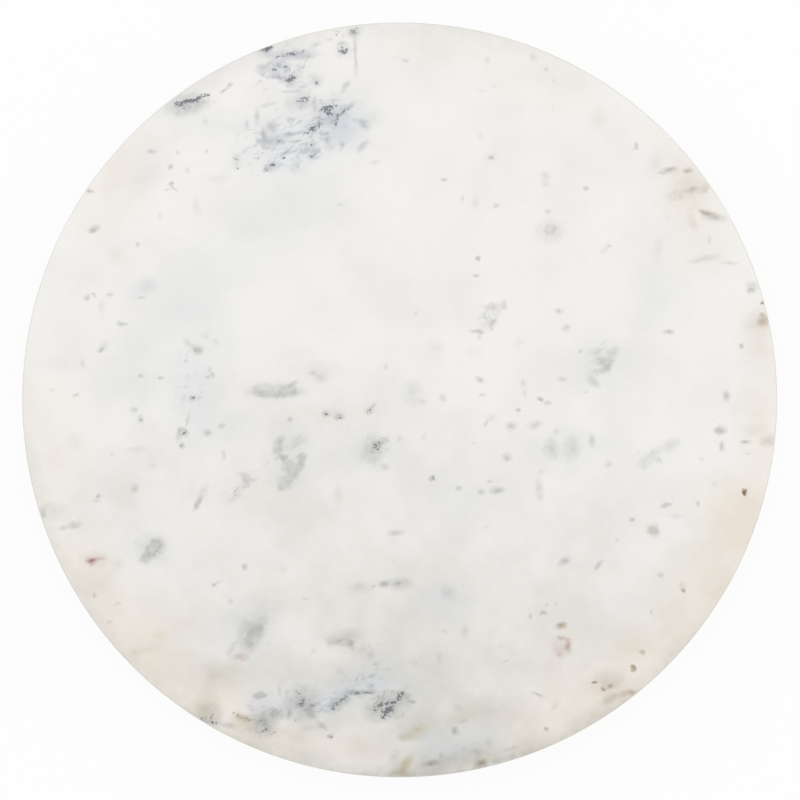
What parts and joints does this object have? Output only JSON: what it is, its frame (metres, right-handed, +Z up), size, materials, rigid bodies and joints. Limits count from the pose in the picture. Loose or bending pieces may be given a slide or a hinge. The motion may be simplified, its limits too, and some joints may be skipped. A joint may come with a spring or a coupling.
{
  "type": "lazy susan turntable",
  "caption": "Round white marble serving plate that spins freely on a low aluminium ring bearing with rubber feet.",
  "frame": {"origin": "on the table surface, under the middle of the plate", "axes": "+Z up along the spindle axis of the turntable, +Y towards the top of the picture, +X towards its right"},
  "size_m": [0.4059, 0.406, 0.0312],
  "materials": {
    "white_marble": "honed white marble with grey flecks and a warm rim",
    "race_aluminium": "turned, clear anodised",
    "ball_steel": "ground and polished steel",
    "cage_nylon": "natural moulded nylon",
    "insert_brass": "turned brass",
    "screw_steel": "zinc plated steel",
    "foot_rubber": "moulded black rubber"
  },
  "bodies": {
    "base": {"fixed_race_ring": "race_aluminium", "filling_plug": "race_aluminium", "plug_pin": "screw_steel", "foot_1": "foot_rubber", "foot_2": "foot_rubber", "foot_3": "foot_rubber", "foot_4": "foot_rubber", "foot_5": "foot_rubber", "foot_6": "foot_rubber", "foot_washers": "screw_steel", "foot_screws": "screw_steel"},
    "turntable": {"marble_top": "white_marble", "threaded_inserts": "insert_brass", "ring_screws": "screw_steel", "turning_race_ring": "race_aluminium"},
    "ball_set": {"bearing_balls": "ball_steel", "ball_cage": "cage_nylon"}
  },
  "joints": [
    {"name": "turntable_spin", "type": "hinge", "parent": "base", "child": "turntable", "pos_m": [0, 0, 0.0096], "axis": [0, 0, 1], "continuous": true},
    {"name": "ball_set_orbit", "type": "hinge", "parent": "base", "child": "ball_set", "pos_m": [0, 0, 0.0096], "axis": [0, 0, 1], "continuous": true}
  ],
  "couplings": [
    {"joint": "ball_set_orbit", "follows": "turntable_spin", "ratio": 0.49036}
  ]
}
